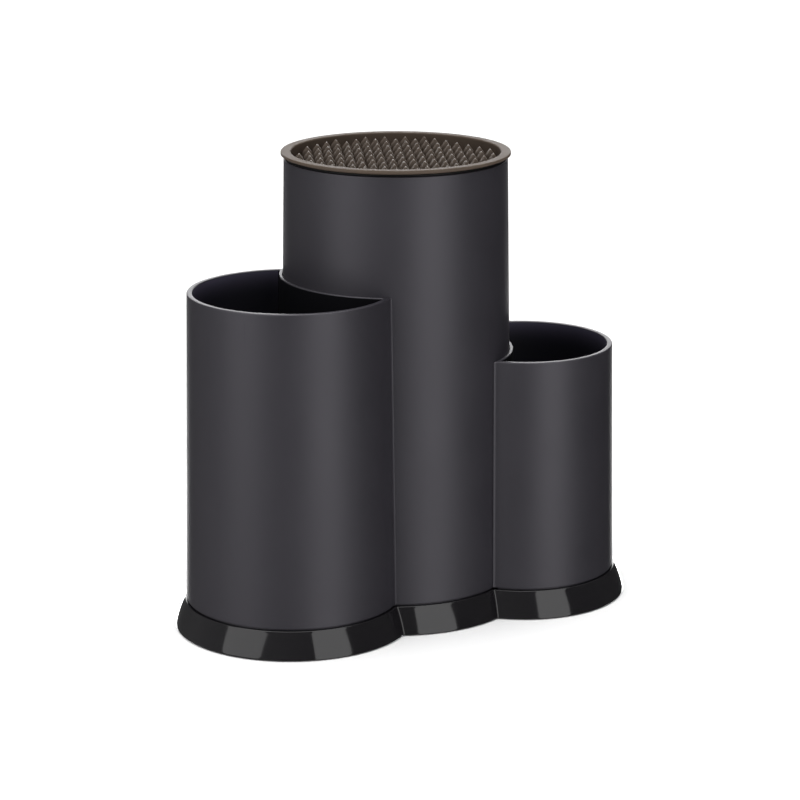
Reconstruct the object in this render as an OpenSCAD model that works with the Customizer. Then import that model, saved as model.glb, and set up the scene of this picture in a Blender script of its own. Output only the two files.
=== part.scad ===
// Universal knife block with two utensil cups.
// A tall round tube holds a lift-out insert of flexible comb strips, into which
// knives are pushed point first. A large and a small utensil cup hug the tube,
// and all three stand on one flared base skirt.
// Axes: +X from the large cup to the small cup, -Y the front, +Z up.
// The origin is at the middle of the footprint, on the table.

/* [Layout] */
// Distance of each utensil cup from the knife tube, sideways
cup_offset_x = 62; // [58:1:68]
// Distance by which the cups stand in front of the knife tube
cup_offset_y = 16; // [10:1:20]
// Gap between a cup and the tube that it hugs
seam_gap = 0.15; // [0.1:0.05:0.4]

/* [Knife tube] */
// Height of the tube's rim above the table
tube_rim_z = 221.8; // [200:0.1:240]
// Outer radius of the tube at its rim
tube_top_r = 54; // [53.8:0.1:56]
// Outer radius of the tube at its foot
tube_foot_r = 57.5; // [56:0.1:60]
// Wall thickness of the tube
tube_wall = 2; // [1.6:0.1:2.4]

/* [Utensil cups] */
// Height of the large cup's rim above the table
large_rim_z = 165; // [120:0.2:180]
// Outer radius of the large cup at its rim
large_top_r = 49.2; // [44:0.2:52]
// Outer radius of the large cup at its foot
large_foot_r = 52.1; // [48:0.1:55]
// Height of the small cup's rim above the table
small_rim_z = 127.6; // [90:0.2:150]
// Outer radius of the small cup at its rim
small_top_r = 43.8; // [40:0.2:46]
// Outer radius of the small cup at its foot
small_foot_r = 46.2; // [42:0.2:48]
// Wall thickness of both cups
cup_wall = 2.6; // [2:0.1:3]
// Wall thickness of the cups' bays, next to the tube
bay_wall = 1.7; // [1.4:0.1:2.6]

/* [Base] */
// Height of the base skirt's top above the table
deck_z = 13.4; // [12:0.1:18]
// Distance by which the skirt's top edge stands outside the body
skirt_ledge = 0.7; // [0.5:0.1:1.5]
// Distance by which the skirt's foot stands outside the body
skirt_flare = 5.5; // [4:0.1:7]
// Outward bulge of the skirt's slope, halfway up
skirt_bulge = 0.4; // [0.1:0.1:0.8]
// Wall thickness of the skirt and of its deck
skirt_wall = 2.2; // [1.8:0.1:2.6]
// Height of the shadow groove between the body and the skirt
groove_h = 0.8; // [0.4:0.1:1.2]
// Depth of the shadow groove
groove_depth = 1.1; // [0.6:0.1:1.5]
// Diameter of the rubber feet
foot_d = 14; // [10:1:16]
// Diameter of the self-tapping screws' shanks
screw_d = 3.5; // [3:0.1:4]
// Diameter of the screws' heads
screw_head_d = 7.4; // [6:0.1:8]

/* [Insert] */
// Outer radius of the insert's ring
ring_r = 55.4; // [55:0.1:56.4]
// Radius of the opening in the ring
ring_inner_r = 50.5; // [50.3:0.1:50.7]
// Thickness of the ring's flange
ring_t = 1.4; // [1:0.1:1.6]
// Height of the set-back neck under the ring
neck_h = 0.8; // [0.6:0.1:1.5]
// Thickness of the black seat ring between the neck and the tube's rim
seat_t = 1; // [0.6:0.1:1.4]
// Outer radius of the insert's sleeve
sleeve_r = 51.3; // [51:0.1:51.3]
// Wall thickness of the sleeve
sleeve_wall = 1.2; // [1:0.1:1.4]

/* [Comb strips] */
// Number of comb strips side by side across the insert
strip_count = 20; // [12:1:20]
// Distance from one strip to the next
strip_pitch = 4.9; // [4.85:0.05:4.95]
// Thickness of a strip's pointed heads
head_t = 4.7; // [4:0.1:4.7]
// Thickness of the thin fingers below the heads
finger_t = 1.8; // [1.2:0.1:2.4]
// Distance from one finger to the next along a strip
finger_pitch = 12.5; // [10:0.1:14]
// Slot between one finger and the next
finger_gap = 7; // [1:0.1:7.5]
// Length of the ridge along the top of a head
ridge_l = 4; // [0.5:0.1:5]
// Height of the pointed tips
tip_h = 3; // [2.5:0.1:6]
// Height of the straight part of a head, below its tip
head_h = 7; // [5:0.5:12]
// Depth of the tips below the ring's top
tip_recess = 1.2; // [0.8:0.1:4]
// Direction in which the strips run, from +X
strip_turn = 69; // [0:1:179]

/* [Hidden] */
$fn = 96;
strip_names = [for (i = [1:strip_count]) str("comb_strip_", i < 10 ? "0" : "", i)];

eps = 0.01;              // overlap that makes a cut break through
charcoal = "#3b3b3f";
gloss_black = "#1c1b1e";
taupe = "#4c4845";

// A vessel is [centre, foot radius, rim radius, rim height, wall]. The tube is at the
// middle of the layout, which is then shifted to put the origin under the footprint.
reach_left = cup_offset_x + large_foot_r + skirt_flare;
reach_right = cup_offset_x + small_foot_r + skirt_flare;
reach_front = cup_offset_y + large_foot_r + skirt_flare;
reach_back = tube_foot_r + skirt_flare;
shift = [(reach_left - reach_right) / 2, (reach_front - reach_back) / 2];
TUBE = [shift, tube_foot_r, tube_top_r, tube_rim_z, tube_wall];
LARGE = [shift + [-cup_offset_x, -cup_offset_y], large_foot_r, large_top_r, large_rim_z, cup_wall];
SMALL = [shift + [cup_offset_x, -cup_offset_y], small_foot_r, small_top_r, small_rim_z, cup_wall];
VESSELS = [TUBE, LARGE, SMALL];
function centre(v) = v[0];
function foot_r(v) = v[1];
function rim_r(v) = v[2];
function rim_z(v) = v[3];
function wall(v) = v[4];

// Outer radius of a vessel's drafted wall at a height
function radius_at(v, z) = foot_r(v) + (rim_r(v) - foot_r(v)) * (z - deck_z) / (rim_z(v) - deck_z);

// Heights, from the table up
foot_h = 1.6;            // rubber feet
plate_z = 1;             // underside of the base plate
plate_t = 2;
skirt_z = 0.5;           // lower edge of the skirt
lip_z = 1.2;             // top of the small upright lip at the skirt's edge
floor_z = 22;            // underside of the vessels' floors
floor_t = 2.6;
sleeve_z = 26;           // underside of the insert
sleeve_top_z = tube_rim_z - 4;
insert_floor_t = 3;
strip_z = sleeve_z + 1.5;           // strips stand in grooves in the insert's floor
spine_top_z = strip_z + 14;         // fingers start above the strip's spine
seat_z = tube_rim_z + seat_t;       // top of the seat ring
flange_z = seat_z + neck_h;         // underside of the ring's flange
apex_z = flange_z + ring_t - tip_recess;
shoulder_z = apex_z - tip_h;
head_z = shoulder_z - head_h;
strip_fit = 0.2;                    // gap between a strip's ends and the sleeve

// Screws: each is an angle and a distance from its vessel's centre
boss_r = 5;
pilot_r = screw_d / 2 + 0.05;       // screws turn in this bore with 0.05 mm to spare
through_r = screw_d / 2 + 0.5;
head_z0 = plate_z + 0.4;
screw_head_h = 2;
screw_top_z = 21;
away_large = atan2(-cup_offset_y, -cup_offset_x);
away_small = atan2(-cup_offset_y, cup_offset_x);
function around(v, angle, d) = centre(v) + d * [cos(angle), sin(angle)];
tube_screws = [for (a = [30, 150, 270]) around(TUBE, a, 38)];
large_screws = [for (a = [-55, 55]) around(LARGE, away_large + a, 34)];
small_screws = [for (a = [-55, 55]) around(SMALL, away_small + a, 29)];
screws = concat(tube_screws, large_screws, small_screws);
feet = concat([for (a = [62, 118]) around(TUBE, a, 50)],
    [for (a = [-85, 85]) around(LARGE, away_large + a, 44)],
    [for (a = [-85, 85]) around(SMALL, away_small + a, 38)]);

// Skirt profile: a slope from the deck out to the lip, bulging a little halfway
slope_steps = 4;
function slope_share(z) = min(1, (deck_z - z) / (deck_z - lip_z));
function flare_at(z) = skirt_ledge + (skirt_flare - skirt_ledge) * slope_share(z)
    + 4 * skirt_bulge * slope_share(z) * (1 - slope_share(z));

// Strips fill the sleeve: each is as long as the chord at its outer face
strip_limit_r = sleeve_r - sleeve_wall - strip_fit;
function strip_at(i) = (i - (strip_count - 1) / 2) * strip_pitch;
function strip_half(i) = sqrt(strip_limit_r ^ 2 - (abs(strip_at(i)) + head_t / 2) ^ 2);
// Neighbouring strips are staggered by half a finger
function stagger(i) = (i % 2) * finger_pitch / 2;

// Solid cone of a vessel between two heights, grown outwards by a distance
module drafted(v, z0, z1, grow = 0) {
    translate([centre(v)[0], centre(v)[1], z0])
        cylinder(h = z1 - z0, r1 = radius_at(v, z0) + grow, r2 = radius_at(v, z1) + grow);
}

// Space between two heights inside a cup's wall, and outside the wall that hugs the tube
module cup_space(v, z0, z1) {
    difference() {
        drafted(v, z0, z1, -cup_wall);
        drafted(TUBE, z0 - 1, z1 + 1, seam_gap + bay_wall);
    }
}

// Upright round posts or holes at a list of places
module posts(places, r, z0, z1) {
    for (p = places) translate([p[0], p[1], z0]) cylinder(h = z1 - z0, r = r);
}

// Ring-shaped cut that sets a vessel's foot back behind the shadow groove
module groove_cut(v) {
    difference() {
        drafted(v, deck_z - eps, deck_z + groove_h, 2);
        drafted(v, deck_z - 1, deck_z + groove_h + 1, -groove_depth);
    }
}

// Utensil cup: a drafted cup with a bay that hugs the knife tube
module cup(v, cup_screws) {
    color(charcoal) difference() {
        drafted(v, deck_z, rim_z(v));
        drafted(TUBE, deck_z - 1, rim_z(v) + 1, seam_gap);
        cup_space(v, floor_z + floor_t, rim_z(v) + 1);
        difference() {
            cup_space(v, deck_z - 1, floor_z);
            posts(cup_screws, boss_r, deck_z, floor_z + 1);
        }
        groove_cut(v);
        posts(cup_screws, pilot_r, deck_z - 1, floor_z);
    }
}

module knife_tube() {
    color(charcoal) difference() {
        drafted(TUBE, deck_z, tube_rim_z);
        drafted(TUBE, floor_z + floor_t, tube_rim_z + 1, -tube_wall);
        difference() {
            drafted(TUBE, deck_z - 1, floor_z, -tube_wall);
            posts(tube_screws, boss_r, deck_z, floor_z + 1);
        }
        groove_cut(TUBE);
        posts(tube_screws, pilot_r, deck_z - 1, floor_z);
    }
}

module large_cup() { cup(LARGE, large_screws); }

module small_cup() { cup(SMALL, small_screws); }

// One lobe of the skirt, filled, with its surface set in by a distance
module lobe(v, inset, z0, z1) {
    levels = [for (i = [0:slope_steps]) lip_z + (deck_z - lip_z) * i / slope_steps];
    above = [for (z = levels) if (z > z0 && z < z1) z];
    heights = concat([z0], above, [z1]);
    outline = [for (z = heights) [foot_r(v) + flare_at(z) - inset, z]];
    translate(centre(v)) rotate_extrude() polygon(concat([[0, z0]], outline, [[0, z1]]));
}

module base_skirt() {
    color(gloss_black) difference() {
        for (v = VESSELS) lobe(v, 0, skirt_z, deck_z);
        for (v = VESSELS) lobe(v, skirt_wall, skirt_z - 1, deck_z - skirt_wall);
        posts(screws, through_r, 0, deck_z + 1);
    }
}

// Flat cover that closes the skirt from below, with a hollow post at each screw
module base_plate() {
    post_top_z = deck_z - skirt_wall;
    color("#262628") difference() {
        union() {
            for (v = VESSELS) translate([centre(v)[0], centre(v)[1], plate_z])
                cylinder(h = plate_t, r = foot_r(v) + flare_at(plate_z + plate_t) - skirt_wall - 0.4);
            posts(screws, boss_r, plate_z, post_top_z);
        }
        posts(screws, screw_head_d / 2 + 0.4, plate_z - 1, head_z0 + screw_head_h);
        posts(screws, through_r, plate_z, post_top_z + 1);
        posts(feet, foot_d / 2, plate_z - 1, foot_h);
    }
}

module rubber_feet() {
    color("#202020") posts(feet, foot_d / 2, 0, foot_h);
}

module base_screws() {
    color("silver") for (p = screws) translate([p[0], p[1], head_z0]) difference() {
        union() {
            cylinder(h = screw_head_h, d = screw_head_d);
            cylinder(h = screw_top_z - head_z0, d = screw_d);
        }
        for (a = [0, 90]) rotate(a) translate([-2, -0.4, -1]) cube([4, 0.8, 2]);
    }
}

// Flange with a set-back neck that stands on the seat ring, and a spigot inside the tube
module insert_ring() {
    neck_r = ring_r - 2.4;
    profile = [
        [ring_inner_r, sleeve_top_z], [sleeve_r, sleeve_top_z], [sleeve_r, seat_z],
        [neck_r, seat_z], [neck_r, flange_z], [ring_r, flange_z],
        [ring_r, flange_z + ring_t - 0.5], [ring_r - 0.5, flange_z + ring_t],
        [ring_inner_r + 0.5, flange_z + ring_t], [ring_inner_r, flange_z + ring_t - 0.5]
    ];
    color(taupe) translate(shift) rotate_extrude() polygon(profile);
}

// Black ring that beds the insert on the tube's rim
module seat_ring() {
    color(gloss_black) translate([shift[0], shift[1], tube_rim_z]) difference() {
        cylinder(h = seat_t, r = ring_r - 2);
        translate([0, 0, -1]) cylinder(h = seat_t + 2, r = sleeve_r + 0.1);
    }
}

module insert_sleeve() {
    color(taupe) translate([shift[0], shift[1], sleeve_z + insert_floor_t]) difference() {
        cylinder(h = sleeve_top_z - sleeve_z - insert_floor_t, r = sleeve_r);
        translate([0, 0, -1])
            cylinder(h = sleeve_top_z, r = sleeve_r - sleeve_wall);
    }
}

// Round floor of the insert, with a groove for each strip and drain holes between them
module insert_floor() {
    color(taupe) translate([shift[0], shift[1], sleeve_z]) difference() {
        cylinder(h = insert_floor_t, r = sleeve_r);
        rotate(strip_turn - 90) for (i = [0:strip_count - 1])
            translate([strip_at(i) - finger_t / 2, -strip_half(i), strip_z - sleeve_z])
                cube([finger_t, 2 * strip_half(i), insert_floor_t]);
        for (a = [0:60:300]) rotate(a) translate([30, 0, -1]) cylinder(h = insert_floor_t + 2, d = 3);
    }
}

// Comb strip: an upright spine that carries a row of thin fingers with pointed heads.
// It is the comb's outline, seen from the side, met by its section, seen from the end.
module comb_strip(i) {
    half = strip_half(i);
    first = ceil((-half - stagger(i)) / finger_pitch - 0.5);
    last = floor((half - stagger(i)) / finger_pitch + 0.5);
    section = [
        [-finger_t / 2, strip_z], [finger_t / 2, strip_z], [finger_t / 2, head_z],
        [head_t / 2, head_z + 1.5], [head_t / 2, shoulder_z], [0, apex_z],
        [-head_t / 2, shoulder_z], [-head_t / 2, head_z + 1.5], [-finger_t / 2, head_z]
    ];
    color(taupe) translate([shift[0], shift[1], 0]) rotate(strip_turn - 90)
        translate([strip_at(i), 0, 0]) intersection() {
            rotate([90, 0, 0]) translate([0, 0, -half])
                linear_extrude(2 * half) polygon(section);
            rotate([90, 0, 90]) translate([0, 0, -head_t]) linear_extrude(2 * head_t) {
                translate([-half, strip_z]) square([2 * half, spine_top_z - strip_z]);
                for (k = [first:last]) finger_outline(k * finger_pitch + stagger(i), half);
            }
        }
}

// Side view of one finger, trimmed to the strip's length
module finger_outline(at, half) {
    left = max(at - (finger_pitch - finger_gap) / 2, -half);
    right = min(at + (finger_pitch - finger_gap) / 2, half);
    ridge = ridge_l / 2 * (right - left) / (finger_pitch - finger_gap);
    peak = (left + right) / 2;
    if (right - left > 2)
        polygon([[left, spine_top_z - 1], [right, spine_top_z - 1], [right, shoulder_z],
            [peak + ridge, apex_z], [peak - ridge, apex_z], [left, shoulder_z]]);
}

knife_tube();
large_cup();
small_cup();
base_skirt();
base_plate();
rubber_feet();
base_screws();
insert_ring();
seat_ring();
insert_sleeve();
insert_floor();
for (i = [0:strip_count - 1])
    comb_strip(i);
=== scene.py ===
"""Looks of the universal knife block: its shells, skirt, insert, studio and camera.

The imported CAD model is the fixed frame. Each class below is one sub-assembly: its fields
are sizes in millimetres, and its places come from the frame.
"""

import logging
import math
from collections.abc import Callable, Sequence
from dataclasses import dataclass, field, replace
from enum import Enum
from functools import partial
from typing import Any

import bmesh
import bpy
from bpy.types import ID, Material, Node, NodeSocket, NodeTree, Object
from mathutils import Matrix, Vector


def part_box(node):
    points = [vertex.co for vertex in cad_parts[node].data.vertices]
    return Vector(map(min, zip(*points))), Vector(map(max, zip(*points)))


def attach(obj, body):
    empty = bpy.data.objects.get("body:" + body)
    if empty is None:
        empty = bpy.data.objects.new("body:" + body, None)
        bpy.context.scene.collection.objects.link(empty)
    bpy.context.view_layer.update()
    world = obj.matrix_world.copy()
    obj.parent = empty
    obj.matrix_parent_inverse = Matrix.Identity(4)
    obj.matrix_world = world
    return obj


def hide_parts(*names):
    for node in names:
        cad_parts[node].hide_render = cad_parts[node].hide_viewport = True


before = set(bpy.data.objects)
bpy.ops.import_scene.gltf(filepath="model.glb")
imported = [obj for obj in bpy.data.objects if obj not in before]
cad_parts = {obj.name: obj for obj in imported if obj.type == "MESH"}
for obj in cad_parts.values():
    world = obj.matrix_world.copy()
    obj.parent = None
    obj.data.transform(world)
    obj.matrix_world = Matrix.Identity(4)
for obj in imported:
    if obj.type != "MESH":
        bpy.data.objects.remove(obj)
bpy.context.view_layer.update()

log = logging.getLogger("knife_block")
logging.basicConfig(level=logging.INFO, format="%(message)s")

MM = 0.001
TURNED_SEGMENTS = 192
# Distance from an edge to the extra loop that keeps the shading beside it flat, in millimetres
SUPPORT = 0.3

Point2 = tuple[float, float]
Point3 = tuple[float, float, float]


class Body(Enum):
    """The two bodies that the joint separates."""

    HOUSING = "housing"
    INSERT = "insert"


class Slot(Enum):
    """Material slots of the record."""

    BODY = "body_plastic"
    BASE = "base_gloss"
    PLATE = "plate_plastic"
    INSERT = "insert_plastic"
    FOOT = "foot_rubber"
    SCREW = "screw_steel"
    SEAT = "seat_rubber"


# ---- small helpers

def linear(hex_colour: str) -> tuple[float, float, float, float]:
    """Turns an sRGB hex colour into linear RGBA.

    Args:
        hex_colour: colour such as "#3a3b40".

    Returns:
        Red, green, blue and alpha, each from 0 to 1.
    """
    text = hex_colour.lstrip("#")
    srgb = [int(text[i:i + 2], 16) / 255 for i in (0, 2, 4)]
    rgb = [c / 12.92 if c <= 0.04045 else ((c + 0.055) / 1.055) ** 2.4 for c in srgb]
    return (rgb[0], rgb[1], rgb[2], 1.0)


def add_node(tree: NodeTree, kind: str, settings: dict[str, Any] | None = None,
             links: dict[Any, Any] | None = None) -> Node:
    """Adds one node to a tree, with its settings and its inputs.

    Args:
        tree: node tree of a material or of a Geometry Nodes modifier.
        kind: the node's type, such as "ShaderNodeBump".
        settings: attributes of the node, by name.
        links: inputs by name or index. A socket is linked, anything else is a value.

    Returns:
        The new node.
    """
    node = tree.nodes.new(kind)
    for name, value in (settings or {}).items():
        setattr(node, name, value)
    for key, value in (links or {}).items():
        if isinstance(value, NodeSocket):
            tree.links.new(value, node.inputs[key])
        else:
            node.inputs[key].default_value = value
    return node


def maths(tree: NodeTree, operation: str, *values: Any) -> NodeSocket:
    """Adds a Math node on values or sockets, and gives its output."""
    node = add_node(tree, "ShaderNodeMath", {"operation": operation}, dict(enumerate(values)))
    return node.outputs[0]


def ramp(tree: NodeTree, value: NodeSocket, span: Point2, low: float, high: float,
         soft: bool = False) -> NodeSocket:
    """Gives a step from low to high while a value goes through a span."""
    kind = "SMOOTHSTEP" if soft else "LINEAR"
    return add_node(tree, "ShaderNodeMapRange", {"interpolation_type": kind}, {
        "Value": value, "From Min": span[0], "From Max": span[1],
        "To Min": low, "To Max": high}).outputs["Result"]


def noise(tree: NodeTree, place: NodeSocket, size_mm: float, detail: float,
          roughness: float = 0.5) -> NodeSocket:
    """Gives a noise of a size in millimetres."""
    return add_node(tree, "ShaderNodeTexNoise", {}, {
        "Vector": place, "Scale": 1 / (size_mm * MM), "Detail": detail,
        "Roughness": roughness}).outputs["Fac"]


def blank_material(name: str) -> tuple[Material, NodeTree, Any]:
    """Makes an empty material, and gives it with its tree and its Object coordinates."""
    material = bpy.data.materials.new(name)
    material.use_nodes = True
    tree = material.node_tree
    tree.nodes.clear()
    return material, tree, add_node(tree, "ShaderNodeTexCoord").outputs["Object"]


def open_tree(name: str, inputs: dict[str, str]) -> tuple[NodeTree, Any]:
    """Starts a Geometry Nodes tree with inputs by name and type, and gives their sockets."""
    tree = bpy.data.node_groups.new(name, "GeometryNodeTree")
    for label, kind in inputs.items():
        tree.interface.new_socket(label, in_out="INPUT", socket_type="NodeSocket" + kind)
    tree.interface.new_socket("Geometry", in_out="OUTPUT", socket_type="NodeSocketGeometry")
    return tree, add_node(tree, "NodeGroupInput").outputs


def close_tree(tree: NodeTree, geometry: NodeSocket, material: Material) -> None:
    """Ends a Geometry Nodes tree: real geometry, its material, and the output."""
    real = add_node(tree, "GeometryNodeRealizeInstances", {}, {"Geometry": geometry})
    painted = add_node(tree, "GeometryNodeSetMaterial", {}, {
        "Geometry": real.outputs[0], "Material": material})
    add_node(tree, "NodeGroupOutput", {}, {"Geometry": painted.outputs[0]})


def link(name: str, data: ID) -> Object:
    """Makes an object of a mesh, light or camera, and links it to the scene."""
    thing = bpy.data.objects.new(name, data)
    bpy.context.scene.collection.objects.link(thing)
    return thing


def mesh_piece(name: str, verts: Sequence[Point3], faces: Sequence[Sequence[int]],
               smooth_angle: float = 40.0) -> Object:
    """Makes a mesh object from points in metres, at the origin.

    Args:
        name: the piece's name.
        verts: points in the row's frame.
        faces: indices of each face's corners.
        smooth_angle: edges sharper than this many degrees stay sharp.

    Returns:
        The object, linked to the scene.
    """
    mesh = bpy.data.meshes.new(name)
    mesh.from_pydata(verts, [], faces)
    mesh.validate()
    bm = bmesh.new()
    bm.from_mesh(mesh)
    bmesh.ops.recalc_face_normals(bm, faces=bm.faces)
    bm.to_mesh(mesh)
    bm.free()
    mesh.shade_smooth()
    mesh.set_sharp_from_angle(angle=math.radians(smooth_angle))
    return link(name, mesh)


def arc(start: float, sweep: float, steps: int, centre: Point2, radius: float) -> list[Point2]:
    """Gives the points of a circular arc, its two ends included."""
    angles = [start + sweep * i / steps for i in range(steps + 1)]
    return [(centre[0] + radius * math.cos(a), centre[1] + radius * math.sin(a)) for a in angles]


def ring_of(steps: int, radius: float, centre: Point2 = (0.0, 0.0)) -> list[Point2]:
    """Gives the points of a full circle, each once."""
    return arc(0, 2 * math.pi, steps, centre, radius)[:-1]


def loft(name: str, levels: Sequence[Any], outline: Callable[[Any], list[Point2]],
         smooth_angle: float = 40.0) -> Object:
    """Makes a mesh of a stack of outlines that have equally many points, its ends capped.

    Args:
        name: the piece's name.
        levels: tuples that describe the levels, in order along the surface. Each begins with
            the level's height in millimetres.
        outline: gives a level's outline in millimetres.
        smooth_angle: edges sharper than this many degrees stay sharp.

    Returns:
        The object, linked to the scene.
    """
    rings = [outline(level) for level in levels]
    count = len(rings[0])
    verts = [(x * MM, y * MM, level[0] * MM)
             for level, ring in zip(levels, rings) for x, y in ring]
    faces = []
    for k in range(len(rings) - 1):
        low, high = k * count, (k + 1) * count
        for i in range(count):
            j = (i + 1) % count
            faces.append([low + i, low + j, high + j, high + i])
    faces.append(list(range(count)))
    faces.append(list(range((len(rings) - 1) * count, len(rings) * count)))
    return mesh_piece(name, verts, faces, smooth_angle)


def quarter(z0: float, inset0: float, z1: float, inset1: float, steps: int,
            upright: bool) -> list[Point2]:
    """Gives a quarter ellipse of (height, inset) pairs from one point to another.

    Args:
        z0: height at the start.
        inset0: inset at the start.
        z1: height at the end.
        inset1: inset at the end.
        steps: number of steps.
        upright: whether the curve leaves the start upright.

    Returns:
        The pairs after the start, the end included.
    """
    pairs = []
    for i in range(1, steps + 1):
        a = math.pi / 2 * i / steps
        quick, slow = math.sin(a), 1 - math.cos(a)
        tz, ti = (quick, slow) if upright else (slow, quick)
        pairs.append((z0 + (z1 - z0) * tz, inset0 + (inset1 - inset0) * ti))
    return pairs


def dress(piece: Object, material: Material, slot: Slot, body: Body,
          *replaced: str) -> None:
    """Gives a finished piece its material and its body, and hides the CAD nodes it stands for.

    Args:
        piece: the finished piece.
        material: its finish.
        slot: the record's slot of that finish; not used.
        body: the body that it rides on.
        replaced: CAD nodes that it replaces.
    """
    if not piece.data.materials:
        piece.data.materials.append(material)
    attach(piece, body.value)
    if replaced:
        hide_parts(*replaced)
    log.info("%s: %d faces", piece.name, len(piece.data.polygons))


def box_mm(node: str) -> tuple[Vector, Vector]:
    """Gives a CAD node's lowest and highest corners in millimetres."""
    low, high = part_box(node)
    return low / MM, high / MM


def middle(low: Vector, high: Vector) -> Point2:
    """Gives the middle of a box in plan."""
    return (low.x + high.x) / 2, (low.y + high.y) / 2


def island_centres(node: str, spread: float) -> list[Point2]:
    """Finds the middle of each separate solid of a CAD node, seen from above.

    Args:
        node: a CAD node that is a group of equal solids.
        spread: no solid is wider than this, in millimetres.

    Returns:
        The middles in millimetres.
    """
    groups: list[list[Point2]] = []
    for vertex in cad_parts[node].data.vertices:
        x, y = vertex.co.x / MM, vertex.co.y / MM
        for group in groups:
            if math.hypot(group[0][0] - x, group[0][1] - y) < spread:
                group.append((x, y))
                break
        else:
            groups.append([(x, y)])
    return sorted(((min(xs) + max(xs)) / 2, (min(ys) + max(ys)) / 2)
                  for xs, ys in (zip(*group) for group in groups))


# ---- finishes

FLOW_RANGE = (0.3, 0.7)
SCUFF_SCALE = 900.0
SCUFF_RANGE = (0.74, 0.80)
# Painted light: how fast the paler colour under a vessel's rim fades downwards
PAINTED_MOUTH_LIGHT_POWER = 3.0


@dataclass(frozen=True)
class MouldedPlastic:
    """Injection-moulded thermoplastic with a spark-eroded or polished tool surface.

    The tool's grain breaks a reflection into a soft band, slow flow lines shift its gloss a
    little, and handling leaves a few short hairline scuffs.
    """

    name: str
    colour: str
    flow_colour: str
    roughness: float
    roughness_swing: float
    grain_mm: float
    grain_depth_mm: float
    flow_mm: float
    ior: float = 1.5
    sheen: str = "#ffffff"
    scuffs: float = 0.0
    # Painted light under a vessel's rim: its paler colour, and the depth it fades over
    mouth_painted_light: str = "#000000"
    painted_light_depth_mm: float = 15.0

    def build(self, mouth_mm: float = 0.0) -> Material:
        """Builds the material.

        Args:
            mouth_mm: height of a vessel's mouth. Below it the colour turns paler towards the rim,
                as painted light.
        """
        material, tree, place = blank_material(self.name)
        grain = noise(tree, place, self.grain_mm, 3.0, 0.6)
        flow = noise(tree, place, self.flow_mm, 2.0)
        colour = add_node(tree, "ShaderNodeMix", {"data_type": "RGBA"}, {
            "Factor": flow, 6: linear(self.colour), 7: linear(self.flow_colour)})
        # Painted light: below the rim the colour turns paler towards the rim's height
        if mouth_mm:
            height = add_node(tree, "ShaderNodeSeparateXYZ", {}, {0: place}).outputs["Z"]
            reach = ((mouth_mm - self.painted_light_depth_mm) * MM, mouth_mm * MM)
            painted_light = maths(tree, "POWER", ramp(tree, height, reach, 0.0, 1.0), PAINTED_MOUTH_LIGHT_POWER)
            colour = add_node(tree, "ShaderNodeMix", {"data_type": "RGBA"}, {
                "Factor": painted_light, 6: colour.outputs[2], 7: linear(self.mouth_painted_light)})
        gloss = ramp(tree, flow, FLOW_RANGE, self.roughness - self.roughness_swing,
                     self.roughness + self.roughness_swing)
        stretch = add_node(tree, "ShaderNodeMapping", {}, {
            "Vector": place, "Rotation": (0.5, 0.3, 0.2), "Scale": (1.0, 1.0, 0.06)})
        lines = add_node(tree, "ShaderNodeTexNoise", {}, {
            "Vector": stretch.outputs["Vector"], "Scale": SCUFF_SCALE, "Detail": 1.0})
        rough = maths(tree, "ADD", gloss,
                      ramp(tree, lines.outputs["Fac"], SCUFF_RANGE, 0.0, self.scuffs))
        bump = add_node(tree, "ShaderNodeBump", {}, {
            "Height": grain, "Strength": 1.0, "Distance": self.grain_depth_mm * MM})
        shader = add_node(tree, "ShaderNodeBsdfPrincipled", {}, {
            "Base Color": colour.outputs[2], "Roughness": rough,
            "Normal": bump.outputs["Normal"], "IOR": self.ior,
            "Specular Tint": linear(self.sheen)})
        add_node(tree, "ShaderNodeOutputMaterial", {}, {"Surface": shader.outputs["BSDF"]})
        return material


@dataclass(frozen=True)
class ZincPlatedSteel:
    """Zinc-plated screw steel: bright, faintly bluish, with a fine tumbled grain."""

    name: str = "zinc_plated_steel"
    colour: str = "#c3c5c9"
    roughness: float = 0.32
    swing_down: float = 0.08
    swing_up: float = 0.12
    grain_mm: float = 0.5

    def build(self) -> Material:
        """Builds the material."""
        material, tree, place = blank_material(self.name)
        gloss = ramp(tree, noise(tree, place, self.grain_mm, 2.0), (0.0, 1.0),
                     self.roughness - self.swing_down, self.roughness + self.swing_up)
        shader = add_node(tree, "ShaderNodeBsdfPrincipled", {}, {
            "Base Color": linear(self.colour), "Metallic": 1.0, "Roughness": gloss})
        add_node(tree, "ShaderNodeOutputMaterial", {}, {"Surface": shader.outputs["BSDF"]})
        return material


# Polypropylene from a spark-eroded tool: satin, so that lights turn into soft upright bands.
SATIN_POLYPROPYLENE = MouldedPlastic(
    "satin_black_polypropylene", "#1c1a20", "#211f25", 0.49, 0.02, 0.45, 0.005, 38.0,
    ior=1.68, sheen="#faf7ff", scuffs=0.08)
# The same polypropylene inside the vessels, where it reflects less. The paler colour below the
# rim stands in for light that the plain studio doesn't send into the mouths.
# Its colour is darker than the outside's as painted shade, and paler under the rim as painted
# light.
INSIDE_PAINTED_SHADE_AND_LIGHT = MouldedPlastic(
    "inside_painted_shade_and_light", "#0a0912", "#0d0c17", 0.62, 0.03, 0.6, 0.008, 30.0, ior=1.36,
    mouth_painted_light="#4e4a5c")
# The bay walls and the tube's bore, darkened to hold the deep shade between the vessels.
# Its colour is painted shade, darker than the rest of the inside.
BORE_PAINTED_SHADE = replace(
    INSIDE_PAINTED_SHADE_AND_LIGHT, name="bore_painted_shade", colour="#060609", flow_colour="#08080c",
    ior=1.18)
# ABS from a mirror-polished tool: a near black gloss with the faint orange peel of moulding.
POLISHED_ABS = MouldedPlastic(
    "polished_black_abs", "#121113", "#151416", 0.08, 0.015, 3.0, 0.003, 22.0,
    ior=1.48, scuffs=0.06)
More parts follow.
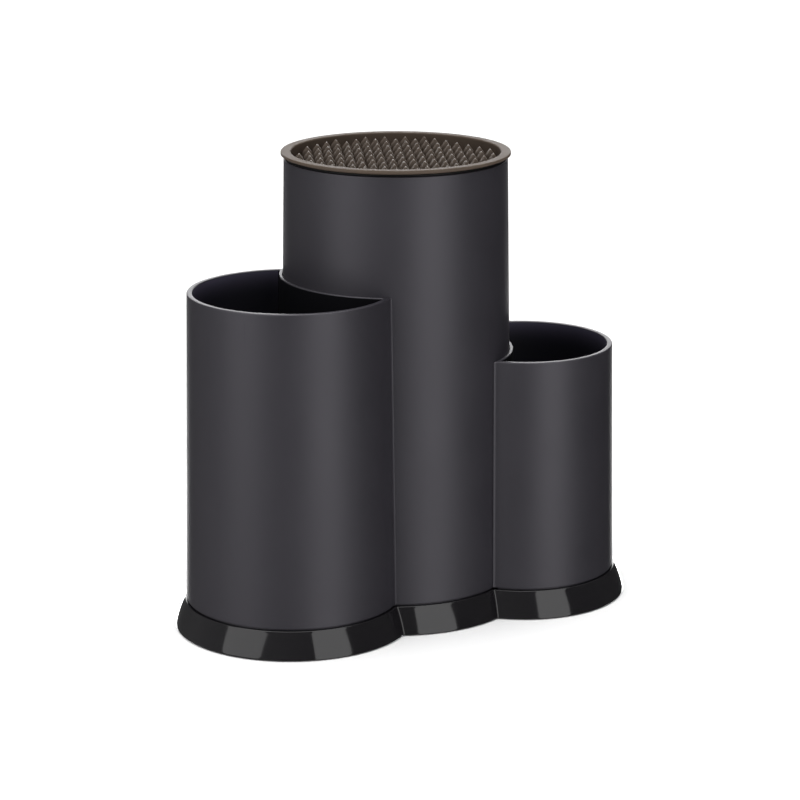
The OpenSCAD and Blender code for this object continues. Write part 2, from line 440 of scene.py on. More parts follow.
# The same ABS from a plain machined tool: the unseen cover below is dull.
DULL_ABS = MouldedPlastic(
    "dull_black_abs", "#232325", "#28282a", 0.55, 0.04, 0.6, 0.010, 30.0)
# Softer polypropylene blend of the insert: a warm grey, a little waxy.
WARM_POLYPROPYLENE = MouldedPlastic(
    "warm_grey_polypropylene", "#483e36", "#51463d", 0.6, 0.03, 0.5, 0.004, 15.0, ior=1.36)
# The same blend on the ring, less reflective so that its flat top doesn't flare.
RING_POLYPROPYLENE = replace(WARM_POLYPROPYLENE, name="ring_polypropylene", ior=1.22)
# Dense moulded rubber of the seat ring: smooth and black. Its near-black colour is also painted
# shade for the slot under the flange.
SEAT_RUBBER_AND_SLOT_SHADE = MouldedPlastic(
    "seat_rubber_and_slot_shade", "#070708", "#0a0a0b", 0.5, 0.03, 1.2, 0.004, 12.0, ior=1.3)
# Synthetic rubber: matt black with a fine tooth.
FOOT_RUBBER = MouldedPlastic(
    "black_foot_rubber", "#1b1b1b", "#222222", 0.78, 0.04, 0.35, 0.012, 9.0, ior=1.48)


# ---- vessels

@dataclass(frozen=True)
class Drafted:
    """A drafted round wall: a circle that shrinks evenly from the foot to the rim."""

    centre: Point2
    foot_r: float
    rim_r: float
    foot_z: float
    rim_z: float

    def radius(self, z: float) -> float:
        """Gives the outer radius at a height."""
        share = (z - self.foot_z) / (self.rim_z - self.foot_z)
        return self.foot_r + (self.rim_r - self.foot_r) * share


@dataclass(frozen=True)
class Circle:
    """A circle in plan."""

    centre: Point2
    radius: float


def bearing(start: Point2, end: Point2) -> float:
    """Gives the direction from one point to another, in radians."""
    return math.atan2(end[1] - start[1], end[0] - start[0])


def turn(start: float, end: float, clockwise: bool) -> float:
    """Gives the signed sweep from one direction to another, the given way round."""
    sweep = (end - start) % (2 * math.pi)
    return sweep - 2 * math.pi if clockwise else sweep


def meeting(a: Circle, b: Circle, side: int) -> Point2:
    """Gives one of the two points where two circles cross, left (1) or right (-1) of a to b."""
    gap = math.hypot(b.centre[0] - a.centre[0], b.centre[1] - a.centre[1])
    half = math.acos((a.radius ** 2 + gap ** 2 - b.radius ** 2) / (2 * gap * a.radius))
    angle = bearing(a.centre, b.centre) + side * half
    return a.centre[0] + a.radius * math.cos(angle), a.centre[1] + a.radius * math.sin(angle)


def crescent(cup: Circle, bay: Circle, fillet: float, hollow: bool) -> list[Point2]:
    """Outline of a circle with a round bay cut out of it.

    Args:
        cup: the circle that keeps its far side.
        bay: the circle that is cut out of it.
        fillet: radius of the rounds at the two corners.
        hollow: whether the corners run out along the bay in hollow rounds, like a fillet
            against the wall inside the bay, instead of being rounded off.

    Returns:
        The outline, counter-clockwise. Its number of points is always the same.
    """
    reach = Circle(cup.centre, cup.radius + (fillet if hollow else -fillet))
    outside = Circle(bay.centre, bay.radius + fillet)
    right, left = meeting(reach, outside, -1), meeting(reach, outside, 1)
    out_r, out_l = bearing(cup.centre, right), bearing(cup.centre, left)
    face_r, face_l = bearing(right, bay.centre), bearing(left, bay.centre)
    big = arc(out_l, turn(out_l, out_r, False), 120, cup.centre, cup.radius)
    if hollow:
        # The round stops short of the bay's wall, which leaves a thin edge there
        short = 0.35
        into, away = bearing(right, cup.centre), bearing(left, cup.centre)
        round_r = arc(into, turn(into, face_r, True) + short, 8, right, fillet)
        back = arc(away, turn(away, face_l, False) - short, 8, left, fillet)
        round_l = back[::-1]
        start, end = bearing(bay.centre, round_r[-1]), bearing(bay.centre, round_l[0])
        inner = arc(start, turn(start, end, True), 72, bay.centre, bay.radius)
        return big[:-1] + round_r + inner + round_l[:-1]
    round_r = arc(out_r, turn(out_r, face_r, False), 8, right, fillet)
    start, end = bearing(bay.centre, right), bearing(bay.centre, left)
    inner = arc(start, turn(start, end, True), 74, bay.centre, bay.radius)
    round_l = arc(face_l, turn(face_l, out_l, False), 8, left, fillet)
    return big[:-1] + round_r[:-1] + inner + round_l[1:-1]


def blend(a: list[Point2], b: list[Point2], share: float) -> list[Point2]:
    """Mixes two outlines point by point."""
    return [(p[0] + (q[0] - p[0]) * share, p[1] + (q[1] - p[1]) * share) for p, q in zip(a, b)]


@dataclass
class Vessels:
    """The knife tube and the two utensil cups that hug it, each one moulded shell."""

    tube_foot_r: float = 57.5
    tube_rim_r: float = 54.0
    tube_wall: float = 2.0
    large_foot_r: float = 52.1
    large_rim_r: float = 49.2
    small_foot_r: float = 46.2
    small_rim_r: float = 43.8
    cup_wall: float = 2.6
    bay_wall: float = 1.7
    seam_gap: float = 0.15
    groove_h: float = 0.8
    groove_depth: float = 1.1
    edge_r: float = 0.2
    rim_edge_r: float = 0.55
    corner_r: float = 1.1
    corner_taper: float = 0.15
    seam_fillet: float = 2.0
    floor_top: float = 24.6
    floor_fillet: float = 2.5
    support: float = 0.4
    satin: Material = field(init=False)
    bore: Material = field(init=False)
    tube: Drafted = field(init=False)
    large: Drafted = field(init=False)
    small: Drafted = field(init=False)

    def __post_init__(self) -> None:
        """Places the three vessels from the frame and builds their finishes."""
        self.satin, self.bore = SATIN_POLYPROPYLENE.build(), BORE_PAINTED_SHADE.build()
        low, high = box_mm("knife_tube")
        self.tube = Drafted(middle(low, high), self.tube_foot_r, self.tube_rim_r, low.z, high.z)
        low, high = box_mm("large_cup")
        r = self.large_foot_r
        self.large = Drafted((low.x + r, low.y + r), r, self.large_rim_r, low.z, high.z)
        low, high = box_mm("small_cup")
        r = self.small_foot_r
        self.small = Drafted((high.x - r, low.y + r), r, self.small_rim_r, low.z, high.z)

    def levels(self, vessel: Drafted, wall: float) -> list[Point2]:
        """Gives (height, inset) pairs from the underside, over the rim, to the floor."""
        foot, rim, edge, lip = vessel.foot_z, vessel.rim_z, self.edge_r, self.rim_edge_r
        body = foot + self.groove_h
        floor, round_top = self.floor_top, self.floor_top + self.floor_fillet
        pairs = [(foot, self.groove_depth), (body, self.groove_depth), (body, edge + self.support),
                 (body, edge)]
        pairs += quarter(body, edge, body + edge, 0.0, 4, upright=False)
        pairs += [(body + edge + self.support, 0.0), (rim - lip - self.support, 0.0),
                  (rim - lip, 0.0)]
        pairs += quarter(rim - lip, 0.0, rim, lip, 7, upright=True)
        lip_in = min(lip, wall - lip)
        pairs.append((rim, wall - lip_in))
        pairs += quarter(rim, wall - lip_in, rim - lip_in, wall, 7, upright=False)
        pairs += [(rim - lip_in - self.support, wall), (round_top + self.support, wall),
                  (round_top, wall)]
        return pairs + quarter(round_top, wall, floor, wall + self.floor_fillet, 6,
                               upright=True)

    def cup(self, name: str, vessel: Drafted) -> Object:
        """Builds a utensil cup with the bay that hugs the tube."""
        def outline(level: Point2) -> list[Point2]:
            z, inset = level
            past_wall = max(0.0, inset - self.cup_wall)
            bay_inset = min(inset, self.cup_wall) * self.bay_wall / self.cup_wall + past_wall
            around = Circle(vessel.centre, vessel.radius(z) - inset)
            bay = Circle(self.tube.centre, self.tube.radius(z) + self.seam_gap + bay_inset)
            corner = self.corner_r - self.corner_taper * inset
            rounded = crescent(around, bay, corner, hollow=False)
            if inset >= self.rim_edge_r:
                return rounded
            filleted = crescent(around, bay, self.seam_fillet, hollow=True)
            return blend(filleted, rounded, inset / self.rim_edge_r)

        return self.shell(name, vessel, self.cup_wall, outline)

    def shell(self, name: str, vessel: Drafted, wall: float,
              outline: Callable[[Point2], list[Point2]]) -> Object:
        """Lofts a vessel through its levels and paints it."""
        levels = self.levels(vessel, wall)
        piece = loft(name, levels, outline)
        self.paint(piece, levels, wall)
        return piece

    def paint(self, vessel: Object, levels: list[Point2], wall: float) -> None:
        """Gives a lofted vessel its satin outside and its duller inside, whose darker colour is
        painted shade, paler under the rim as painted light and darkest beside or within the tube.
        """
        rim = max(height for height, _ in levels)
        for finish in (self.satin, INSIDE_PAINTED_SHADE_AND_LIGHT.build(rim), self.bore):
            vessel.data.materials.append(finish)
        first = next(i for i, (_, inset) in enumerate(levels) if inset >= wall)
        per_level = (len(vessel.data.polygons) - 2) // (len(levels) - 1)
        last = per_level * (len(levels) - 1)
        # Inside faces take the painted shade; those beside or within the tube take the darkest.
        for face in vessel.data.polygons[first * per_level:last]:
            x, y, z = face.center / MM
            from_tube = math.hypot(x - self.tube.centre[0], y - self.tube.centre[1])
            near_tube = from_tube < self.tube.radius(z) + 2 * self.bay_wall
            face.material_index = 2 if near_tube else 1
        vessel.data.polygons[last + 1].material_index = 1

    def knife_tube(self) -> Object:
        """Builds the knife tube."""
        tube = self.tube
        return self.shell("knife_tube_shell", tube, self.tube_wall, lambda level: ring_of(
            TURNED_SEGMENTS, tube.radius(level[0]) - level[1], tube.centre))

    def build(self) -> None:
        """Builds and dresses the three vessels."""
        satin = self.satin
        dress(self.knife_tube(), satin, Slot.BODY, Body.HOUSING, "knife_tube")
        for node, vessel in (("large_cup", self.large), ("small_cup", self.small)):
            dress(self.cup(node + "_shell", vessel), satin, Slot.BODY, Body.HOUSING, node)


# ---- base

@dataclass
class Base:
    """The glossy skirt, the dull cover under it, its screws and its rubber feet."""

    vessels: Vessels
    ledge: float = 0.7
    flare: float = 5.5
    bulge: float = 0.4
    wall: float = 2.2
    lip_z: float = 1.2
    valley_r: float = 1.6
    top_edge_r: float = 0.35
    low_edge_r: float = 0.2
    deck_reach: float = 3.0
    flare_steps: int = 14
    inner_steps: int = 6

    def outline(self, level: Point2) -> list[Point2]:
        """Gives the three-lobed outline of a level, its valleys rounded."""
        v, grow, fillet = self.vessels, level[1], self.valley_r
        large, tube, small = (Circle(d.centre, d.foot_r + grow)
                              for d in (v.large, v.tube, v.small))
        # Going round counter-clockwise from the back left valley
        stops = [(large, tube, 96), (tube, small, 48), (small, tube, 88), (tube, large, 64)]
        valleys = [meeting(Circle(a.centre, a.radius + fillet),
                           Circle(b.centre, b.radius + fillet), -1) for a, b, _ in stops]
        points: list[Point2] = []
        for i, (lobe, after, steps) in enumerate(stops):
            start = bearing(lobe.centre, valleys[i - 1])
            end = bearing(lobe.centre, valleys[i])
            points += arc(start, turn(start, end, False), steps, lobe.centre, lobe.radius)[:-1]
            into, out = bearing(valleys[i], lobe.centre), bearing(valleys[i], after.centre)
            points += arc(into, turn(into, out, True), 8, valleys[i], fillet)[:-1]
        return points

    def flare_at(self, z: float, deck: float) -> float:
        """Gives how far the skirt stands out of the body at a height, along its slope."""
        share = min(1.0, (deck - z) / (deck - self.lip_z))
        straight = self.ledge + (self.flare - self.ledge) * share
        return straight + 4 * self.bulge * share * (1 - share)

    def skirt(self) -> Object:
        """Builds the skirt as one closed shell with a flat deck."""
        low, high = box_mm("base_skirt")
        deck, foot = high.z, low.z
        edge = self.top_edge_r
        inner_deck = deck - self.wall
        pairs = [(deck, -self.deck_reach), (deck, self.ledge - edge - SUPPORT),
                 (deck, self.ledge - edge)]
        shoulder = deck - edge
        pairs += quarter(deck, self.ledge - edge, shoulder, self.flare_at(shoulder, deck), 5,
                         upright=False)
        for i in range(1, self.flare_steps + 1):
            z = shoulder + (self.lip_z - shoulder) * i / self.flare_steps
            pairs.append((z, self.flare_at(z, deck)))
        pairs.append((foot + self.low_edge_r + 0.1, self.flare))
        pairs.append((foot + self.low_edge_r, self.flare))
        pairs += quarter(foot + self.low_edge_r, self.flare, foot, self.flare - self.low_edge_r, 3,
                         upright=True)
        pairs += [(foot, self.flare - self.wall), (self.lip_z, self.flare - self.wall)]
        for i in range(1, self.inner_steps + 1):
            z = self.lip_z + (inner_deck - self.lip_z) * i / self.inner_steps
            pairs.append((z, self.flare_at(z, deck) - self.wall))
        return loft("skirt_shell", pairs, self.outline)

    def build(self) -> None:
        """Builds and dresses the base."""
        dress(self.skirt(), POLISHED_ABS.build(), Slot.BASE, Body.HOUSING, "base_skirt")
        repaint("base_plate", DULL_ABS.build())
        Fasteners().build()


@dataclass
class Fasteners:
    """The rubber feet and the cross-head screws under the cover, set out by Geometry Nodes."""

    foot_r: float = 7.0
    foot_edge_r: float = 0.5
    dish_r: float = 4.0
    dish_depth: float = 0.35
    head_r: float = 3.7
    head_h: float = 2.0
    dome_h: float = 0.9
    shank_r: float = 1.75
    cross_w: float = 1.0
    cross_l: float = 4.0
    cross_depth: float = 1.0

    def foot(self) -> Object:
        """Builds one foot: a disc with a rounded lower edge and a shallow dish."""
        low, high = box_mm("rubber_feet")
        top, edge = high.z - low.z, self.foot_edge_r
        pairs = [(top, self.foot_r), (edge + SUPPORT, self.foot_r), (edge, self.foot_r)]
        pairs += quarter(edge, self.foot_r, 0.0, self.foot_r - edge, 4, upright=True)
        pairs += [(0.0, self.dish_r + 0.5), (0.0, self.dish_r),
                  (self.dish_depth, self.dish_r - 0.6)]
        return loft("foot_pattern", pairs, lambda level: ring_of(40, level[1]))

    def screw(self) -> Object:
        """Builds one screw, its domed head downwards from z = 0 and its shank upwards."""
        low, high = box_mm("base_screws")
        length = high.z - low.z
        w, l = self.cross_w / 2, self.cross_l / 2
        corners = [(l, -w), (l, w), (w, w), (w, l), (-w, l), (-w, w),
                   (-l, w), (-l, -w), (-w, -w), (-w, -l), (w, -l), (w, -w)]
        cross = []
        for a, b in zip(corners, corners[1:] + corners[:1]):
            cross += [a, ((a[0] + b[0]) / 2, (a[1] + b[1]) / 2)]

        def outline(level: tuple[float, float, float]) -> list[Point2]:
            _, radius, narrow = level
            if narrow:
                return [(x * narrow, y * narrow) for x, y in cross]
            return [(radius * x / math.hypot(x, y), radius * y / math.hypot(x, y))
                    for x, y in cross]

        stack = [(length, self.shank_r - 0.5, 0.0), (length - 0.5, self.shank_r, 0.0),
                 (self.head_h, self.shank_r, 0.0), (self.head_h, self.head_r, 0.0),
                 (self.dome_h, self.head_r, 0.0), (self.dome_h * 0.55, self.head_r * 0.96, 0.0),
                 (self.dome_h * 0.22, self.head_r * 0.84, 0.0), (0.0, self.head_r * 0.66, 0.0),
                 (0.0, 0.0, 1.0), (self.cross_depth, 0.0, 0.8)]
        return loft("screw_pattern", stack, outline)

    def set_out(self, name: str, node: str, pattern: Object, material: Material,
                spread: float) -> Object:
        """Sets a pattern at the middle of each solid of a CAD node.

        Args:
            name: the new piece's name.
            node: the CAD node that gives the places.
            pattern: one foot or one screw.
            material: the finish of all of them.
            spread: no solid of the node is wider than this, in millimetres.

        Returns:
            The piece, a plain mesh.
        """
        tree, given = open_tree(name, {"Places": "Geometry", "Height": "Float"})
        lift = add_node(tree, "ShaderNodeCombineXYZ", {}, {"Z": given["Height"]})
        raised = add_node(tree, "GeometryNodeSetPosition", {}, {
            "Geometry": given["Places"], "Offset": lift.outputs[0]})
        shape = add_node(tree, "GeometryNodeObjectInfo", {"transform_space": "ORIGINAL"}, {
            "Object": pattern})
        turned = add_node(tree, "FunctionNodeRandomValue", {"data_type": "FLOAT_VECTOR"}, {
            "Min": (0.0, 0.0, 0.0), "Max": (0.0, 0.0, math.pi / 2), "Seed": 7})
        spots = add_node(tree, "GeometryNodeInstanceOnPoints", {}, {
            "Points": raised.outputs[0], "Instance": shape.outputs["Geometry"],
            "Rotation": turned.outputs[0]})
        close_tree(tree, spots.outputs["Instances"], material)
        low, _ = box_mm(node)
        places = [(x * MM, y * MM, 0.0) for x, y in island_centres(node, spread)]
        piece = grown(name, tree, {"Height": low.z * MM}, places)
        bpy.data.objects.remove(pattern)
        return piece

    def build(self) -> None:
        """Builds and dresses the feet and the screws."""
        rubber, zinc = FOOT_RUBBER.build(), ZincPlatedSteel().build()
        feet = self.set_out("feet", "rubber_feet", self.foot(), rubber, 2 * self.foot_r + 1)
        dress(feet, rubber, Slot.FOOT, Body.HOUSING, "rubber_feet")
        screws = self.set_out("cover_screws", "base_screws", self.screw(), zinc,
                              2 * self.head_r + 1)
        dress(screws, zinc, Slot.SCREW, Body.HOUSING, "base_screws")


def repaint(node: str, material: Material) -> None:
    """Gives a CAD node that stays in view a finished material."""
    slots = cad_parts[node].data.materials
    slots.clear()
    slots.append(material)
    log.info("%s: repainted", node)


# ---- insert

@dataclass
class Insert:
    """The lift-out insert: ring, sleeve, floor and comb strips."""

    ring_r: float = 55.4
    ring_inner_r: float = 50.5
    ring_t: float = 1.4
    neck_h: float = 0.8
    neck_set_back: float = 2.4
    sleeve_r: float = 51.3
    outer_edge_r: float = 0.45
    inner_edge_r: float = 0.7
    low_edge_r: float = 0.25
    seat_set_back: float = 2.0
    seat_fit: float = 0.1
    half_flat: float = 0.1

    def lathe(self, name: str, centre: Point2, pairs: Sequence[Point2]) -> Object:
        """Turns a closed profile of (height, radius) pairs about an upright axis."""
        count, steps = len(pairs), TURNED_SEGMENTS
        verts, faces = [], []
        for k in range(steps):
            a = 2 * math.pi * k / steps
            verts += [((centre[0] + r * math.cos(a)) * MM, (centre[1] + r * math.sin(a)) * MM,
                       z * MM) for z, r in pairs]
            for i in range(count):
                j, here, there = (i + 1) % count, k * count, (k + 1) % steps * count
                faces.append([here + i, here + j, there + j, there + i])
        return mesh_piece(name, verts, faces)

    def ring(self) -> Object:
        """Builds the flange ring with its neck and spigot."""
        low, high = box_mm("insert_ring")
        top = high.z
        under, seat = top - self.ring_t, top - self.ring_t - self.neck_h
        neck_r = self.ring_r - self.neck_set_back
        lo, oe, ie = self.low_edge_r, self.outer_edge_r, self.inner_edge_r
        pairs = [(low.z, self.ring_inner_r), (low.z, self.sleeve_r), (seat, self.sleeve_r),
                 (seat, neck_r), (under, neck_r), (under, self.ring_r - lo - SUPPORT),
                 (under, self.ring_r - lo)]
        pairs += quarter(under, self.ring_r - lo, under + lo, self.ring_r, 4, upright=False)
        pairs += quarter(top - oe, self.ring_r, top, self.ring_r - oe, 6, upright=True)
        pairs += [(top, self.ring_r - oe - SUPPORT), (top, self.ring_inner_r + ie + SUPPORT),
                  (top, self.ring_inner_r + ie)]
        pairs += quarter(top, self.ring_inner_r + ie, top - ie, self.ring_inner_r, 6,
                         upright=False)
        pairs.append((top - ie - SUPPORT, self.ring_inner_r))
        return self.lathe("insert_ring_body", middle(low, high), pairs)

    def seat(self) -> Object:
        """Builds the black seat ring between the flange's neck and the tube's rim; its near-black
        colour is also painted shade for the slot there.
        """
        low, high = box_mm("seat_ring")
        outer = self.ring_r - self.seat_set_back
        edge = (high.z - low.z) / 2 - self.half_flat
        inner = self.sleeve_r + self.seat_fit
        pairs = [(low.z, inner), (low.z, outer - edge)]
        pairs += quarter(low.z, outer - edge, low.z + edge, outer, 5, upright=False)
        pairs += quarter(high.z - edge, outer, high.z, outer - edge, 5, upright=True)
        pairs.append((high.z, inner))
        return self.lathe("seat_ring_body", middle(low, high), pairs)

    def build(self) -> None:
        """Builds and dresses the insert."""
        warm = WARM_POLYPROPYLENE.build()
        ring = RING_POLYPROPYLENE.build()
        dress(self.ring(), ring, Slot.INSERT, Body.INSERT, "insert_ring")
        dress(self.seat(), SEAT_RUBBER_AND_SLOT_SHADE.build(), Slot.SEAT, Body.INSERT, "seat_ring")
        repaint("insert_sleeve", warm)
        repaint("insert_floor", warm)
        CombStrips(warm).build()


@dataclass
class CombStrips:
    """The strips of flexible fingers with pointed heads, one piece each, by Geometry Nodes."""

    material: Material
    turn_deg: float = 69.0
    head_t: float = 4.7
    head_w: float = 5.5
    finger_t: float = 1.8
    pitch: float = 12.5
    tip_h: float = 3.0
    ridge_l: float = 4.0
    head_h: float = 7.0
    spine_h: float = 14.0
    end_fit: float = 0.2
    end_room: float = 1.5
    lean: float = 0.0012
    sleeve_inner_r: float = 50.1

    def reach(self, share: float) -> float:
        """Gives half the width of a tip at a share of its height."""
        return self.head_w / 2 + (self.ridge_l - self.head_w) / 2 * share

    def finger(self) -> Object:
        """Builds one finger with its foot at z = 0 and its tip at the strip's height."""
        low, high = box_mm("comb_strip_10")
        top = high.z - low.z
        shoulder, neck = top - self.tip_h, top - self.tip_h - self.head_h
        half_t, half_w = self.head_t / 2, self.head_w / 2
        thin = self.finger_t / 2
        # (height, half thickness, half width, corner cut) up the finger
        stack = [(self.spine_h - 1, thin, half_w, 0.3), (neck, thin, half_w, 0.3),
                 (neck + 1.5, half_t, half_w, 0.5), (shoulder - 0.5, half_t, half_w, 0.5),
                 (shoulder + 0.1 * self.tip_h, half_t * 0.95, self.reach(0.1), 0.4),
                 (shoulder + 0.5 * self.tip_h, half_t * 0.56, self.reach(0.5), 0.3),
                 (shoulder + 0.9 * self.tip_h, half_t * 0.20, self.reach(0.9), 0.15),
                 (top, half_t * 0.09, self.reach(1.0) - 0.15, 0.1)]

        def outline(level: tuple[float, float, float, float]) -> list[Point2]:
            _, t, w, cut = level
            return [(w, -t + cut), (w, t - cut), (w - cut, t), (cut - w, t),
                    (-w, t - cut), (-w, cut - t), (cut - w, -t), (w - cut, -t)]

        return loft("finger_pattern", stack, outline, smooth_angle=34.0)

    def tree(self, finger: Object) -> NodeTree:
        """Builds the node tree that sets fingers along a spine.

        Args:
            finger: the pattern of one finger.

        Returns:
            The tree. Its inputs are the strip's half length, its first finger's place, the
            number of fingers, the place of the strip and its turn, in metres and radians.
        """
        tree, given = open_tree("comb_strip", {
            "Geometry": "Geometry", "Half length": "Float", "First finger": "Float",
            "Fingers": "Int", "Place": "Vector", "Turn": "Float", "Seed": "Int"})
        start = add_node(tree, "ShaderNodeCombineXYZ", {}, {"X": given["First finger"]})
        line = add_node(tree, "GeometryNodeMeshLine", {"mode": "OFFSET"}, {
            "Count": given["Fingers"], "Start Location": start.outputs[0],
            "Offset": (self.pitch * MM, 0.0, 0.0)})
        pattern = add_node(tree, "GeometryNodeObjectInfo", {"transform_space": "ORIGINAL"}, {
            "Object": finger})
        lean = add_node(tree, "FunctionNodeRandomValue", {"data_type": "FLOAT_VECTOR"}, {
            "Min": (-self.lean, -self.lean, 0.0), "Max": (self.lean, self.lean, 0.0),
            "Seed": given["Seed"]})
        spot = add_node(tree, "GeometryNodeInputPosition")
        split = add_node(tree, "ShaderNodeSeparateXYZ", {}, {0: spot.outputs[0]})
        room = maths(tree, "SUBTRACT", given["Half length"],
                     maths(tree, "ABSOLUTE", split.outputs["X"]))
        width = maths(tree, "MINIMUM", maths(tree, "DIVIDE", room, self.head_w / 2 * MM), 1.0)
        scale = add_node(tree, "ShaderNodeCombineXYZ", {}, {"X": width, "Y": 1.0, "Z": 1.0})
        fingers = add_node(tree, "GeometryNodeInstanceOnPoints", {}, {
            "Points": line.outputs["Mesh"], "Instance": pattern.outputs["Geometry"],
            "Rotation": lean.outputs[0], "Scale": scale.outputs[0]})
        spine_size = add_node(tree, "ShaderNodeCombineXYZ", {}, {
            "X": maths(tree, "MULTIPLY", given["Half length"], 2.0), "Y": self.finger_t * MM,
            "Z": self.spine_h * MM})
        spine = add_node(tree, "GeometryNodeMeshCube", {}, {"Size": spine_size.outputs[0]})
        raised = add_node(tree, "GeometryNodeTransform", {}, {
            "Geometry": spine.outputs["Mesh"], "Translation": (0.0, 0.0, self.spine_h / 2 * MM)})
        both = add_node(tree, "GeometryNodeJoinGeometry", {}, {
            "Geometry": fingers.outputs["Instances"]})
        tree.links.new(raised.outputs[0], both.inputs["Geometry"])
        turned = add_node(tree, "ShaderNodeCombineXYZ", {}, {"Z": given["Turn"]})
        placed = add_node(tree, "GeometryNodeTransform", {}, {
            "Geometry": both.outputs[0], "Translation": given["Place"],
            "Rotation": turned.outputs[0]})
        close_tree(tree, placed.outputs[0], self.material)
        return tree

    def build(self) -> None:
        """Builds one piece for each strip of the frame."""
        finger = self.finger()
        tree = self.tree(finger)
        names = sorted(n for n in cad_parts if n.startswith("comb_strip_"))
        centre = Vector(middle(*box_mm("insert_sleeve")))
        turned = math.radians(self.turn_deg)
        across = Vector((math.sin(turned), -math.cos(turned)))
        limit = self.sleeve_inner_r - self.end_fit
        for i, name in enumerate(names):
            low, high = box_mm(name)
            offset = (Vector(middle(low, high)) - centre).dot(across)
            half = math.sqrt(limit ** 2 - (abs(offset) + self.head_t / 2) ** 2)
            stagger = (i % 2) * self.pitch / 2
            # The cut-off fingers at a strip's very ends, which the CAD has, are left out
            first = math.ceil((-half + self.end_room - stagger) / self.pitch)
            last = math.floor((half - self.end_room - stagger) / self.pitch)
            place = centre + offset * across
            values = {"Half length": half * MM, "First finger": (first * self.pitch + stagger) * MM,
                      "Fingers": last - first + 1,
                      "Place": (place.x * MM, place.y * MM, low.z * MM),
                      "Turn": turned, "Seed": i}
            piece = grown(f"strip_{i + 1:02d}", tree, values)
            dress(piece, self.material, Slot.INSERT, Body.INSERT, name)
        bpy.data.objects.remove(finger)


def grown(name: str, tree: NodeTree, values: dict[str, Any],
          places: Sequence[Point3] = ()) -> Object:
    """Runs a Geometry Nodes tree and keeps its result as a plain mesh.

    Args:
        name: the piece's name.
        tree: the node tree.
        values: the tree's inputs, by name.
        places: points of the mesh that the tree is given, in metres.

    Returns:
        An object whose mesh is the tree's result, with no modifier left.
    """
    seeds = bpy.data.meshes.new(name + "_host")
    seeds.from_pydata(places, [], [])
    host = link(name + "_host", seeds)
    modifier = host.modifiers.new("grow", "NODES")
    modifier.node_group = tree
    for item in tree.interface.items_tree:
        if item.item_type == "SOCKET" and item.in_out == "INPUT" and item.name in values:
            modifier[item.identifier] = values[item.name]
    bpy.context.view_layer.update()
    evaluated = host.evaluated_get(bpy.context.evaluated_depsgraph_get())
    mesh = bpy.data.meshes.new_from_object(evaluated)
    mesh.name = name
    piece = link(name, mesh)
    bpy.data.objects.remove(host)
    return piece


# ---- studio

@dataclass(frozen=True)
class Softbox:
    """A rectangular soft light on a stand, aimed at the block."""

    name: str
    turn_deg: float
    lift_deg: float
    distance_m: float
    width_m: float
    height_m: float
    watts: float

    def build(self, aim: Vector, front_deg: float) -> None:
        """Builds the light, facing aim. Its turn is counted from the camera's azimuth."""
        light = bpy.data.lights.new(self.name, "AREA")
        light.shape = "RECTANGLE"
        light.size, light.size_y = self.width_m, self.height_m
        light.energy = self.watts
        way = direction(front_deg + self.turn_deg, self.lift_deg)
        point_at(link(self.name, light), aim, way, self.distance_m)


def point_at(thing: Object, aim: Vector, way: Vector, distance_m: float) -> None:
    """Stands a light or camera off from a point, and turns it to face the point."""
    thing.location = aim + way * distance_m
    thing.rotation_euler = (-way).to_track_quat("-Z", "Y").to_euler()


def direction(azimuth_deg: float, elevation_deg: float) -> Vector:
    """Gives the unit vector from the block towards an azimuth and elevation."""
    a, e = math.radians(azimuth_deg), math.radians(elevation_deg)
    return Vector((math.sin(a) * math.cos(e), -math.cos(a) * math.cos(e), math.sin(e)))


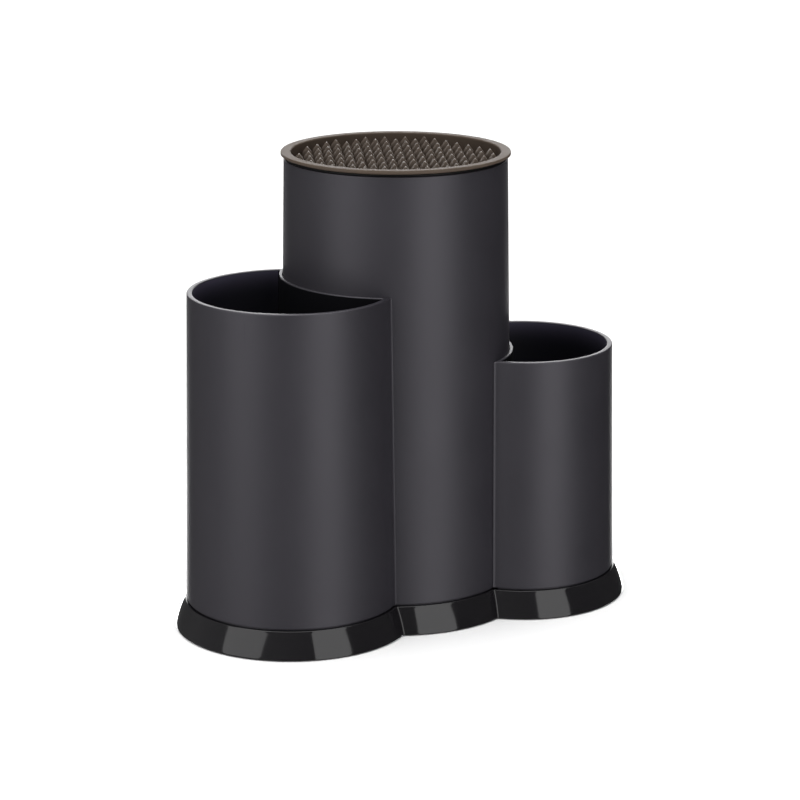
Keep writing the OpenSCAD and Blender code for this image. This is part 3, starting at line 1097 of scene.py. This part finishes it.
@dataclass
class Studio:
    """Pale floor, soft lights and the camera."""

    azimuth_deg: float = -24.82
    elevation_deg: float = 15.2
    distance_m: float = 1.3606
    lens_mm: float = 123.95
    aim_mm: Point3 = (6.3, 7.7, 99.55)
    floor_m: float = 14.0
    floor_colour: str = "#f4f4f4"
    room_left: float = 0.28
    room_right: float = 0.08
    shade_behind: float = 0.4
    edge_glow: float = 12.0
    rim_glow: float = 6.2
    top_glow: float = 0.6
    # Spans on a ray's turn to the back (reach) or on its height (from, to)
    shade_reach: Point2 = (0.2, 0.8)
    edge_reach: Point2 = (0.84, 0.93)
    edge_from: Point2 = (-0.60, -0.42)
    edge_to: Point2 = (-0.29, -0.24)
    rim_reach: Point2 = (0.90, 0.97)
    rim_from: Point2 = (-0.06, 0.02)
    top_from: Point2 = (0.45, 0.85)
    ceiling: float = 2.8
    boxes: tuple[Softbox, ...] = (
        Softbox("right_softbox", 37.0, 6.0, 1.7, 1.08, 2.2, 14.2),
        Softbox("left_softbox", -49.0, 20.0, 1.7, 1.20, 2.2, 12.6),
    )

    def floor(self) -> None:
        """Builds the floor: matt pale card."""
        half = self.floor_m / 2
        mesh = bpy.data.meshes.new("floor")
        mesh.from_pydata([(-half, -half, 0), (half, -half, 0), (half, half, 0), (-half, half, 0)],
                         [], [(0, 1, 2, 3)])
        floor = link("floor", mesh)
        material = bpy.data.materials.new("pale_card")
        material.use_nodes = True
        shader = material.node_tree.nodes["Principled BSDF"]
        shader.inputs["Base Color"].default_value = linear(self.floor_colour)
        shader.inputs["Roughness"].default_value = 0.9
        mesh.materials.append(material)
        # A pale card right under the block would wash out its dark plastic
        floor.visible_glossy = False
        # The softboxes reach below the floor, so that their bands run down to the skirt
        floor.visible_shadow = False

    def world(self) -> None:
        """Builds the room: dim all round, bright overhead and behind the block."""
        world = bpy.data.worlds.new("studio")
        world.use_nodes = True
        tree = world.node_tree
        tree.nodes.clear()
        way = add_node(tree, "ShaderNodeTexCoord").outputs["Generated"]
        height = add_node(tree, "ShaderNodeSeparateXYZ", {}, {0: way}).outputs["Z"]

        def towards(azimuth_deg: float) -> NodeSocket:
            """Gives how much a ray points towards an azimuth, from -1 to 1."""
            return add_node(tree, "ShaderNodeVectorMath", {"operation": "DOT_PRODUCT"}, {
                0: way, 1: tuple(direction(azimuth_deg, 0.0))}).outputs["Value"]

        step = partial(ramp, tree, soft=True)
        back = towards(self.azimuth_deg + 180.0)
        right = towards(self.azimuth_deg + 90.0)
        sides = step(right, (-1.0, 1.0), self.room_left, self.room_right)
        room = maths(tree, "MULTIPLY", sides, step(back, self.shade_reach, 1.0, self.shade_behind))
        # Low behind the block one band lights the edges of the upright walls, and above it
        # another lights the rims. The gap between them keeps the skirt's edge dark.
        low_band = maths(tree, "MULTIPLY", step(height, self.edge_from, 0.0, 1.0),
                         step(height, self.edge_to, 1.0, 0.0))
        edges = maths(tree, "MULTIPLY", step(back, self.edge_reach, 0.0, self.edge_glow), low_band)
        high_band = step(height, self.rim_from, 0.0, 1.0)
        rims = maths(tree, "MULTIPLY", step(back, self.rim_reach, 0.0, self.rim_glow), high_band)
        top = step(height, self.top_from, 0.0, self.top_glow)
        both = maths(tree, "MAXIMUM", maths(tree, "MAXIMUM", edges, rims),
                     maths(tree, "MAXIMUM", top, room))
        light = add_node(tree, "ShaderNodeBackground", {}, {
            "Color": (1.0, 1.0, 1.0, 1.0), "Strength": both})
        add_node(tree, "ShaderNodeOutputWorld", {}, {"Surface": light.outputs["Background"]})
        bpy.context.scene.world = world

    def overhead(self) -> None:
        """Builds the wide soft light of the ceiling, which keeps the floor even."""
        sun = bpy.data.lights.new("ceiling_light", "SUN")
        sun.energy = self.ceiling
        sun.angle = math.radians(60.0)
        sun.specular_factor = 0.0
        link("ceiling_light", sun)

    def camera(self) -> None:
        """Builds the camera and makes it the scene's."""
        lens = bpy.data.cameras.new("camera")
        lens.lens = self.lens_mm
        lens.sensor_width = 36.0
        camera = link("camera", lens)
        way = direction(self.azimuth_deg, self.elevation_deg)
        point_at(camera, Vector(self.aim_mm) * MM, way, self.distance_m)
        bpy.context.scene.camera = camera

    def build(self) -> None:
        """Builds floor, world, lights and camera."""
        self.floor()
        self.world()
        self.overhead()
        bpy.context.scene.view_settings.view_transform = "Standard"
        aim = Vector(self.aim_mm) * MM
        for box in self.boxes:
            box.build(aim, self.azimuth_deg)
        self.camera()


def main() -> None:
    Studio().build()
    vessels = Vessels()
    vessels.build()
    Base(vessels).build()
    Insert().build()


if __name__ == "__main__":
    main()
